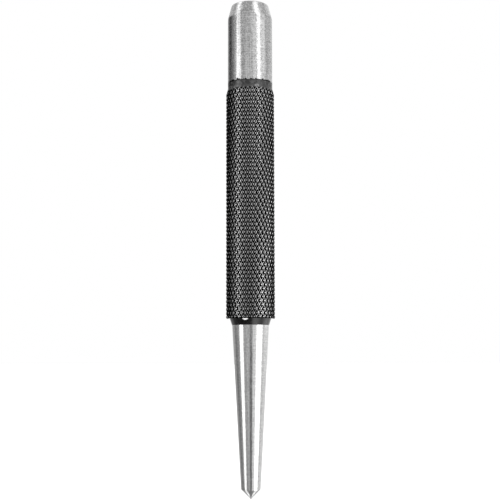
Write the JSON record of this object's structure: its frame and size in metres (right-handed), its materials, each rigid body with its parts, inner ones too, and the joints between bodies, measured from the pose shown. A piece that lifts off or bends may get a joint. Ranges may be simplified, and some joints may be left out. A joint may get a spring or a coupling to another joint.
{
  "type": "center punch",
  "caption": "Round center punch with a bright chamfered striking head, a black diamond-knurled finger grip and a long ground taper ending in a 90 degree point.",
  "frame": {"origin": "the tip of the point, on the punch's axis", "axes": "+Z along the punch's axis from the point to the struck end; X and Y are square to it and alike"},
  "size_m": [0.0102, 0.0102, 0.1047],
  "materials": {
    "ground_head": "satin ground steel",
    "ground_shank": "bright fine-ground steel",
    "black_oxide": "black oxide on steel, satin",
    "black_knurl": "black oxide on steel, rubbed lighter on the knurl's crests"
  },
  "bodies": {
    "root": {"striking_head": "ground_head", "black_neck": "black_oxide", "knurled_grip": "black_knurl", "grip_collar": "black_oxide", "tapered_shank": "ground_shank", "point": "ground_shank"}
  },
  "joints": []
}
